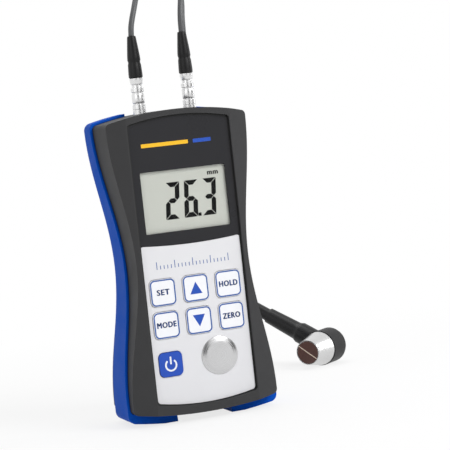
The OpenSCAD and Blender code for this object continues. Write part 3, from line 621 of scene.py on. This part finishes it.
# Ends of the label and of the lens: height at the middle, height at the sides
LABEL_HALF, LABEL_R = 21.2, 1.5
LABEL_TOP, LABEL_LOW, LENS_LOW = (121.2, 118.7), (6.5, 8.7), (70.2, 71.3)
# Width of the black ring of painted shade round the label, then how far the prints, that ring and the
# segments stand in front
SHADE_RING_W = 0.6
PRINT_LIFT, SHADE_RING_LIFT, SEGMENT_LIFT = 0.015, 0.012, 0.02
lens_dark = moulded("lens_dark_back_print", (40, 40, 43), 0.3, grain=1.2, depth=0.004,
                    strength=0.1, share=0.05, level=0.2)
display_grey = moulded("display_glass", (219, 222, 213), 0.35, grain=0.5, depth=0.003,
                       strength=0.1, share=0.02)
segment_black = moulded("display_segments", (18, 19, 19), 0.5, grain=0.2, depth=0.003,
                        strength=0.15, share=0.04, level=0.1)
soften("lcd_glass", 0.1, display_grey)


def bowed(x, half, mid, end):
    """Height at x of an end that is mid high in the middle and end high at the sides."""
    return mid + (end - mid) * (x / half) ** 2


def bowed_panel(half, low, top, r):
    """The label's outline: straight sides, bowed ends (mid, end) and round corners."""
    s = half - r
    across = [-s + 2 * s * i / 12 for i in range(13)]
    back = [s - 2 * s * i / 12 for i in range(13)]
    low_z, top_z = bowed(s, half, *low) + r, bowed(s, half, *top) - r
    return [*((x, bowed(x, half, *low)) for x in across),
            *arc_points(s, low_z, r, -75, 0, 5), *arc_points(s, top_z, r, 0, 75, 5),
            *((x, bowed(x, half, *top)) for x in back),
            *arc_points(-s, top_z, r, 105, 180, 5), *arc_points(-s, low_z, r, 180, 255, 5)]


lens = flat_shape("lens_plate", [bowed_panel(LABEL_HALF, LENS_LOW, LABEL_TOP, LABEL_R),
                                 round_box(*WINDOW, WINDOW_R)],
                  LENS_Y, lens_dark, thick=1.0, round_edge=0.1)
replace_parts(lens, "display_lens")


def clear_pane():
    finish, tree, shader = new_finish("lens_clear_window")
    at = tree.nodes.new("ShaderNodeTexCoord").outputs["Object"]
    tree.links.new(ranged(tree, noise(tree, at, 200), 0.03, 0.08), shader.inputs["Roughness"])
    shader.inputs["Base Color"].default_value = (0.02, 0.02, 0.02, 1)
    shader.inputs["Specular IOR Level"].default_value = 0.3
    shader.inputs["Alpha"].default_value = 0.06
    return finish


pane = flat_shape("lens_window", [round_box(WINDOW[0], WINDOW[1], WINDOW[2] - PANE_GAP,
                                            WINDOW[3] - PANE_GAP, WINDOW_R)],
                  LENS_Y + 0.02, clear_pane(), thick=0.5)
# Painted shade: a black ring round the whole label stands in for the shadow that the recess walls cast
# at the label's edge
painted_shade_black = ink_and_painted_shade("label_painted_shade_black", (14, 14, 15), 0.6)
painted_shade_ring = flat_shape("label_painted_shade_ring", [bowed_panel(LABEL_HALF, LABEL_LOW, LABEL_TOP, LABEL_R),
                                 bowed_panel(LABEL_HALF - SHADE_RING_W,
                                             [z + SHADE_RING_W / 2 for z in LABEL_LOW],
                                             [z - SHADE_RING_W for z in LABEL_TOP], LABEL_R)],
                  LENS_Y - SHADE_RING_LIFT, painted_shade_black)
print("lens faces:", len(lens.data.polygons))

# %% [markdown]
# ## Digits
# Each digit is made of up to seven bars with pointed ends, leaning a little. The bars
# are named from the top clockwise, with the middle bar last, as makers of displays do.

# %% Digits
BARS = {"2": "abged", "6": "afgecd", "3": "abgcd"}
DIGIT_W, DIGIT_H, BAR, BAR_GAP = 5.7, 14.6, 1.9, 0.12
LEAN = math.tan(math.radians(5))
# Places in the window, from its left edge and down from its top edge
DIGITS = (("2", 9.1), ("6", 16.8), ("3", 24.5))
DIGIT_DROP, POINT_AT, POINT_SIZE, UNIT_AT, UNIT_H = 19.5, (23.3, 18.8), 1.3, (30.4, 2.7), 2.0


def bar_loop(x0, z0, bar):
    """One bar of the digit whose lower left corner is x0, z0."""
    w, h, t, gap = DIGIT_W, DIGIT_H, BAR, BAR_GAP
    half = t / 2
    if bar == "g":
        z = h / 2
        loop = [(half + gap, z), (t + gap, z + half), (w - t - gap, z + half),
                (w - half - gap, z), (w - t - gap, z - half), (t + gap, z - half)]
    elif bar in "ad":
        z_out, z_in = (h, h - t) if bar == "a" else (0, t)
        loop = [(gap, z_out), (w - gap, z_out), (w - t - gap, z_in), (t + gap, z_in)]
    else:
        x, inward = (0, 1) if bar in "ef" else (w, -1)
        up = 1 if bar in "bf" else -1
        z_out, z_mid = h - gap if up > 0 else gap, h / 2 + up * gap
        loop = [(x, z_out), (x + inward * t, z_out - up * t),
                (x + inward * t, z_mid + up * half), (x + inward * half, z_mid),
                (x, z_mid + up * half)]
    return [(x0 + x + LEAN * z, z0 + z) for x, z in loop]


LEFT_EDGE, TOP_EDGE = WINDOW[0] - WINDOW[2] / 2, WINDOW[1] + WINDOW[3] / 2
bars = []
for digit, x in DIGITS:
    bars += [bar_loop(LEFT_EDGE + x, TOP_EDGE - DIGIT_DROP, bar) for bar in BARS[digit]]
bars.append(round_box(LEFT_EDGE + POINT_AT[0], TOP_EDGE - POINT_AT[1], POINT_SIZE, POINT_SIZE, 0.1))
segments = flat_shape("display_reading", bars, GLASS_Y - SEGMENT_LIFT, segment_black)
unit = printed_word("display_unit", "mm", LEFT_EDGE + UNIT_AT[0], TOP_EDGE - UNIT_AT[1], UNIT_H,
                    GLASS_Y - SEGMENT_LIFT, segment_black, "gauge", bold=0.14)
print("display bars:", len(bars))

# %% [markdown]
# ## Keypad
# The lower half of the face is a white film with printed blue lines. The keys stand
# slightly proud of it. Their outlines and signs are prints, so they ride on the keys
# and go in with them when a key is pressed.

# %% Keypad
KEY_TOP = -14.2
KEY_PRINT_Y = KEY_TOP - PRINT_LIFT
panel_white = moulded("panel_white_film", (227, 227, 230), 0.42, grain=0.3, depth=0.004,
                      strength=0.15, share=0.02)
key_white = moulded("key_white_film", (244, 245, 249), 0.4, grain=0.3, depth=0.004,
                    strength=0.15, share=0.02)
key_blue = moulded("power_key_blue", (8, 72, 182), 0.38, grain=0.3, depth=0.004,
                   strength=0.15, share=0.04)
line_blue = ink_and_painted_shade("key_line_blue", (46, 88, 160))
sign_blue = ink_and_painted_shade("key_sign_blue", (10, 74, 180))
word_blue = ink_and_painted_shade("key_word_blue", (40, 84, 166))
sign_white = ink_and_painted_shade("power_sign_white", (240, 243, 248))
soften("keypad_panel", 0.12, panel_white)

KEY_X, UPPER_ROW, LOWER_ROW = 13.7, 52.3, 39.4
KEYS = {"key_set": (-KEY_X, UPPER_ROW), "key_up": (0, UPPER_ROW), "key_hold": (KEY_X, UPPER_ROW),
        "key_mode": (-KEY_X, LOWER_ROW), "key_down": (0, LOWER_ROW), "key_zero": (KEY_X, LOWER_ROW)}
# The outline's sizes outside and inside, each with its corner radius
LINE_OUT, LINE_IN = (10.3, 10.3, 1.9), (9.2, 9.2, 1.4)
ARROW_HALF, ARROW_FOOT, ARROW_TIP = 2.55, 2.3, 2.5
WORD_H, WORD_BOLD, LONG_WORD_NARROW = 2.15, 0.16, 0.85
WORDS = {"key_set": "SET", "key_hold": "HOLD", "key_mode": "MODE", "key_zero": "ZERO"}
for key, (x, z) in KEYS.items():
    soften(key, 0.2, key_white)
    line = flat_shape(key + "_outline", [round_box(x, z, *LINE_OUT), round_box(x, z, *LINE_IN)],
                      KEY_PRINT_Y, line_blue, key)
    if key in WORDS:
        sign = printed_word(key + "_word", WORDS[key], x, z, WORD_H, KEY_PRINT_Y, word_blue, key,
                            bold=WORD_BOLD,
                            narrow=1.0 if len(WORDS[key]) == 3 else LONG_WORD_NARROW)
    else:
        up = 1 if key == "key_up" else -1
        foot = z - ARROW_FOOT * up
        sign = flat_shape(key + "_arrow", [[(x - ARROW_HALF, foot), (x + ARROW_HALF, foot),
                                            (x, z + ARROW_TIP * up)]],
                          KEY_PRINT_Y, sign_blue, key)
print("keys:", len(KEYS))

# %% [markdown]
# ## Power key
# The power key is solid blue with the usual sign: an open ring with a bar in the gap.

# %% Power key
POWER_X, POWER_Z = -KEY_X, 23.8
RING_OUT, RING_IN, RING_DROP = 2.55, 1.85, 0.3
HALF_GAP, RING_STEPS = 38, 28
soften("key_power", 0.2, key_blue)
outside, inside = (arc_points(POWER_X, POWER_Z - RING_DROP, r, 90 + HALF_GAP, 450 - HALF_GAP,
                              RING_STEPS) for r in (RING_OUT, RING_IN))
power_bar = round_box(POWER_X, POWER_Z + 1.55, 0.7, 3.1, 0.3)
power_sign = flat_shape("power_sign", [outside + inside[::-1], power_bar],
                        KEY_PRINT_Y, sign_white, "key_power")
print("power sign faces:", len(power_sign.data.polygons))

# %% [markdown]
# ## Plain prints
# A straight two-colour stripe on the lens and a short measuring scale on the panel are
# plain decoration, printed flat like the key lines.

# %% Plain prints
FACE_PRINT_Y = LENS_Y - PRINT_LIFT
STRIPE_Z, STRIPE_H, STRIPE_R = 110.2, 1.5, 0.3
SCALE_X, SCALE_Z, TICK_PITCH, TICK_W, TICK_H, LONG_TICK_H = -15, 62.2, 1.5, 0.3, 1.5, 3.0
TICKS, LONG_EVERY = 21, 5
stripe_yellow = ink_and_painted_shade("stripe_yellow", (248, 190, 20))
stripe = flat_shape("lens_stripe", [round_box(-6.3, STRIPE_Z, 19.5, STRIPE_H, STRIPE_R)],
                    FACE_PRINT_Y, stripe_yellow)
dash = flat_shape("lens_dash", [round_box(9.3, STRIPE_Z, 7.5, STRIPE_H, STRIPE_R)],
                  FACE_PRINT_Y, sign_blue)
ticks = []
for i in range(TICKS):
    tall = LONG_TICK_H if i % LONG_EVERY == 0 else TICK_H
    ticks.append(round_box(SCALE_X + TICK_PITCH * i, SCALE_Z + (tall - TICK_H) / 2, TICK_W, tall, 0.1))
scale = flat_shape("panel_scale", ticks, FACE_PRINT_Y, line_blue)
print("scale ticks:", len(ticks))

# %% [markdown]
# ## Zero disc
# The round steel block is turned, so its face has fine rings round its centre.

# %% Zero disc
disc_steel = turned_metal("zero_disc_steel", (204, 204, 205), 0.24, (0, 1, 0),
                          centre=(7, 0, 24.3), ring=0.3, strength=0.15)
soften("zero_disc", 0.12, disc_steel)
print("zero disc finished")

# %% [markdown]
# ## Plugs
# Each plug is bright nickel. Its sleeve has a raised ring at each end for the fingers
# and a smooth barrel between. It could be stacked from cylinders, but a turned shape is
# one profile spun round an axis, so one helper spins the sleeves, the nuts and the boots.

# %% Spun shapes


def spun(name, profile, origin, axis, finish, body, count=96):
    """profile: (radius, place along the axis) in millimetres."""
    axis = Vector(axis).normalized()
    side = axis.orthogonal().normalized()
    other = axis.cross(side)
    mesh = bmesh.new()
    rings = []
    for r, along in profile:
        ring = []
        for k in range(count):
            a = 2 * math.pi * k / count
            p = Vector(origin) + along * axis + r * (math.cos(a) * side + math.sin(a) * other)
            ring.append(mesh.verts.new(p * MM))
        rings.append(ring)
    for low, high in zip(rings, rings[1:]):
        for k in range(count):
            mesh.faces.new((low[k], low[(k + 1) % count], high[(k + 1) % count], high[k]))
    mesh.faces.new(list(reversed(rings[0])))
    mesh.faces.new(rings[-1])
    bmesh.ops.recalc_face_normals(mesh, faces=mesh.faces)
    data = bpy.data.meshes.new(name)
    mesh.to_mesh(data)
    mesh.free()
    for face in data.polygons:
        face.use_smooth = True
    data.materials.append(finish)
    made = bpy.data.objects.new(name, data)
    scene.collection.objects.link(made)
    edges = made.modifiers.new("edges", "EDGE_SPLIT")
    edges.split_angle = math.radians(38)
    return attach(made, body)


print("spin helper ready")

# %% Plugs
plug_nickel = turned_metal("plug_nickel", (226, 226, 226), 0.28, (0, 0, 1), ring=0.6,
                           depth=0.0005, strength=0.05)
SLEEVE = [(2.06, 1.8), (2.45, 1.8), (2.6, 1.95), (2.6, 3.45), (2.45, 3.6), (2.15, 3.65),
          (2.15, 4.15), (2.35, 4.2), (2.5, 4.5), (2.5, 7.7), (2.35, 8.0), (2.15, 8.05),
          (2.15, 8.55), (2.45, 8.6), (2.6, 8.75), (2.6, 10.15), (2.45, 10.3), (2.06, 10.3)]
NUT = [(2.06, 11.7), (2.35, 11.7), (2.45, 11.85), (2.45, 12.6), (2.6, 12.9), (2.6, 14.15),
       (2.45, 14.3), (2.06, 14.3)]
for side, word in ((-1, "left"), (1, "right")):
    at = plug_point(side, 0)
    sleeve = spun(f"sleeve_{word}", SLEEVE, at, PLUG_AXIS, plug_nickel, f"plug_sleeve_{word}")
    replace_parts(sleeve, f"plug_sleeve_{word}")
    nut = spun(f"nut_{word}", NUT, at, PLUG_AXIS, plug_nickel, "gauge")
    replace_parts(nut, f"plug_nut_{word}")
    soften(f"plug_core_{word}", 0, plug_nickel)
    soften(f"socket_{word}", 0.15, plug_nickel)
soften("socket_nuts", 0.15, plug_nickel)
print("plugs finished")

# %% [markdown]
# ## Bend relief boots
# A black rubber boot holds each cable where it leaves its plug. It is straight at the
# root and tapers to the cable, with soft shoulders, so a spun profile with rounded
# steps gives its soft highlights.

# %% Boots
boot_black = moulded("boot_black_rubber", (13, 13, 14), 0.4, grain=0.6, depth=0.008,
                     strength=0.2, share=0.1, level=0.3)
BOOT = [(0.4, 14.32), (2.5, 14.32), (2.8, 14.6), (2.8, 16), (2.62, 19.6), (2.42, 20.3),
        (2.42, 20.8), (2.62, 21.4), (2.58, 22.5), (2.3, 25.5), (2.0, 28.2), (1.8, 30.2),
        (1.66, 30.85), (1.4, 31), (1.16, 31)]
boots = {}
for side, word in ((-1, "left"), (1, "right")):
    boots[word] = spun(f"relief_{word}", BOOT, plug_point(side, 0), PLUG_AXIS, boot_black,
                       "gauge", count=64)
    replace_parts(boots[word], f"boot_{word}")
print("boots:", sorted(boots))

# %% [markdown]
# ## Probe
# The probe lies on its side behind the gauge. A brushed steel ring holds two brown
# elements with a pale barrier between them, the body is black plastic and its boot is
# stepped. The solids already have these shapes, so they get edges and finishes.

# %% Probe
ring_steel = turned_metal("probe_ring_steel", (210, 210, 210), 0.26, tuple(FACE_DIR), ring=0.2)
probe_black = moulded("probe_black_plastic", (27, 27, 29), 0.5, grain=0.4, depth=0.02,
                      strength=0.3, level=0.25)
element_brown = moulded("element_brown", (88, 56, 48), 0.45, grain=0.25, depth=0.015,
                        strength=0.4, share=0.25)
barrier_pale = moulded("barrier_pale", (226, 206, 186), 0.5, grain=0.2, depth=0.01)
soften("probe_ring", 0.2, ring_steel)
soften("probe_body", 0.5, probe_black)
soften("probe_elements", 0.05, element_brown)
soften("probe_barrier", 0, barrier_pale)
soften("probe_boot", 0.35, boot_black)
print("probe finished")

# %% [markdown]
# ## Cable finish and coil strap
# The cables have a smooth dark jacket. A woven strap goes once round the coil. It is a
# band swept round a rounded box, because the flat solid under it has hard corners.

# %% Cable finish and strap
cable_jacket = moulded("cable_jacket", (78, 79, 81), 0.42, grain=0.8, depth=0.004,
                       strength=0.12, share=0.06)
for piece in (left_cable, right_cable):
    piece.data.materials.append(cable_jacket)

strap_weave = moulded("strap_weave", (28, 28, 30), 0.85, grain=0.35, depth=0.06,
                      strength=0.6, share=0.15)
STRAP_HEADING, STRAP_Z, STRAP_HALF_W = math.radians(200), 5.2, 3.5
# The strap's section outside and inside: width, height, corner radius, corner steps
STRAP_OUT, STRAP_IN = (12.0, 10.4, 2.4, 8), (11.0, 9.4, 1.9, 8)


def coil_strap():
    out = Vector((math.cos(STRAP_HEADING), math.sin(STRAP_HEADING), 0))
    along = Vector((-out.y, out.x, 0))
    middle = Vector((*COIL_AT, STRAP_Z)) + COIL_R * out
    outer, inner = round_box(0, 0, *STRAP_OUT), round_box(0, 0, *STRAP_IN)
    mesh = bmesh.new()
    loops = []
    half = STRAP_HALF_W
    for loop, w in ((outer, -half), (outer, half), (inner, half), (inner, -half)):
        loops.append([mesh.verts.new((middle + x * out + Vector((0, 0, z)) + w * along) * MM)
                      for x, z in loop])
    count = len(outer)
    for a, b in zip(loops, loops[1:] + loops[:1]):
        for k in range(count):
            mesh.faces.new((a[k], a[(k + 1) % count], b[(k + 1) % count], b[k]))
    bmesh.ops.recalc_face_normals(mesh, faces=mesh.faces)
    data = bpy.data.meshes.new("coil_strap")
    mesh.to_mesh(data)
    mesh.free()
    data.materials.append(strap_weave)
    made = bpy.data.objects.new("coil_strap", data)
    scene.collection.objects.link(made)
    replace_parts(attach(made, "gauge"), "coil_tie")
    return made


print("strap faces:", len(coil_strap().data.polygons))

# %% [markdown]
# ## Inside
# The board, the cells and their contacts show only with the battery door open. They
# still get their own finishes, so that a view with the door open looks right.

# %% Inside
WRAP_CHANGE = 44
EDGED_INSIDE = ("board_chips", "battery_cells", "case_screws")
board_green = moulded("board_green", (28, 92, 52), 0.35, grain=1.5, depth=0.01, share=0.15,
                      coat=0.4)
chip_black = moulded("chip_black", (34, 34, 36), 0.5)
frame_black = moulded("holder_black", (24, 24, 25), 0.5)
strip_pink = moulded("contact_strip", (196, 150, 146), 0.6, share=0.2)
spring_steel = turned_metal("contact_steel", (196, 194, 190), 0.3, (0, 1, 0), ring=0.3)
screw_steel = turned_metal("screw_steel", (130, 130, 132), 0.35, (0, 1, 0), ring=0.3)
lead_red = moulded("lead_red", (170, 24, 26), 0.45)
lead_white = moulded("lead_white", (220, 220, 218), 0.45)


def cell_wrap():
    """A plain wrap, gold at the top of each cell and dark below."""
    finish, tree, shader = new_finish("cell_wrap")
    at = tree.nodes.new("ShaderNodeTexCoord").outputs["Object"]
    part = tree.nodes.new("ShaderNodeSeparateXYZ")
    tree.links.new(at, part.inputs[0])
    step = tree.nodes.new("ShaderNodeMapRange")
    step.inputs["From Min"].default_value = WRAP_CHANGE * MM
    step.inputs["From Max"].default_value = (WRAP_CHANGE + 0.1) * MM
    tree.links.new(part.outputs["Z"], step.inputs["Value"])
    mix = tree.nodes.new("ShaderNodeMix")
    mix.data_type = "RGBA"
    mix.inputs[6].default_value = [*linear((46, 46, 50)), 1]
    mix.inputs[7].default_value = [*linear((196, 150, 72)), 1]
    tree.links.new(step.outputs[0], mix.inputs[0])
    tree.links.new(mix.outputs[2], shader.inputs["Base Color"])
    tree.links.new(ranged(tree, noise(tree, at, 300), 0.25, 0.35), shader.inputs["Roughness"])
    shader.inputs["Metallic"].default_value = 0.6
    return finish


for node, finish in (("main_board", board_green), ("board_chips", chip_black),
                     ("lcd_holder", frame_black), ("lcd_strips", strip_pink),
                     ("key_domes", spring_steel), ("battery_contacts", spring_steel),
                     ("board_screws", screw_steel), ("case_screws", screw_steel),
                     ("battery_leads", lead_red), ("socket_leads", lead_white),
                     ("battery_cells", cell_wrap())):
    soften(node, 0.1 if node in EDGED_INSIDE else 0, finish)
print("inside finished")

# %% [markdown]
# ## Last update
# The view layer is brought up to date once all the pieces are made.

bpy.context.view_layer.update()
